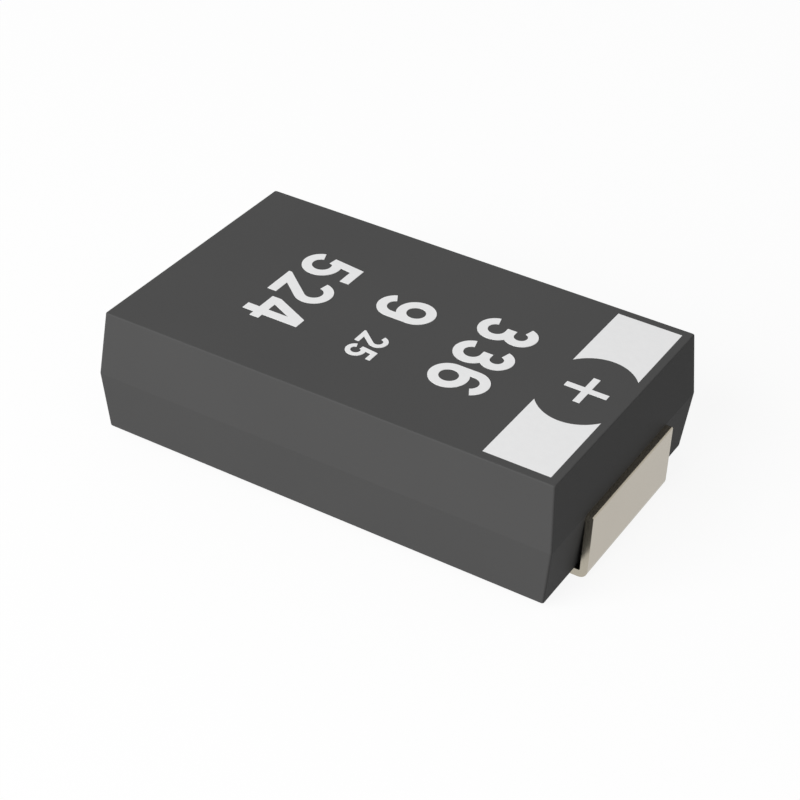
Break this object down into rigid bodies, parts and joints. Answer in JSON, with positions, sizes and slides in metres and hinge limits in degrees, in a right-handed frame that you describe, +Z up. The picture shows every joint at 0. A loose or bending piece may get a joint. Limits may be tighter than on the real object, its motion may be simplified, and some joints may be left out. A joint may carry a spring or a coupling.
{
  "type": "tantalum chip capacitor",
  "caption": "Low rectangular surface-mount capacitor: drafted dark moulded case, pellet inside, and two flat terminals folded under its ends as solder feet.",
  "frame": {"origin": "on the solder plane, the underside of the two feet, under the middle of the part", "axes": "+X towards the anode, the end with the polarity band; +Y across the case; +Z up, away from the board"},
  "size_m": [0.0074, 0.0044, 0.002],
  "materials": {
    "case_resin": "moulded dark grey epoxy, fine matte grain",
    "plated_lead": "matte tin plate, rolled strip",
    "sintered_tantalum": "pressed and sintered powder",
    "drawn_tantalum": "drawn wire",
    "white_washer": "white fluoropolymer",
    "weld_metal": "resistance weld",
    "conductive_polymer": "dried conductive polymer",
    "carbon": "carbon paint",
    "silver_paint": "silver paint",
    "silver_epoxy": "silver-filled adhesive",
    "white_marking": "laser-bleached or printed white skin"
  },
  "bodies": {
    "root": {"molded_case": "case_resin", "anode_lead": "plated_lead", "cathode_lead": "plated_lead", "tantalum_pellet": "sintered_tantalum", "tantalum_wire": "drawn_tantalum", "wire_washer": "white_washer", "wire_weld": "weld_metal", "polymer_layer": "conductive_polymer", "carbon_coat": "carbon", "silver_coat": "silver_paint", "silver_adhesive": "silver_epoxy", "polarity_band": "white_marking"}
  },
  "joints": []
}
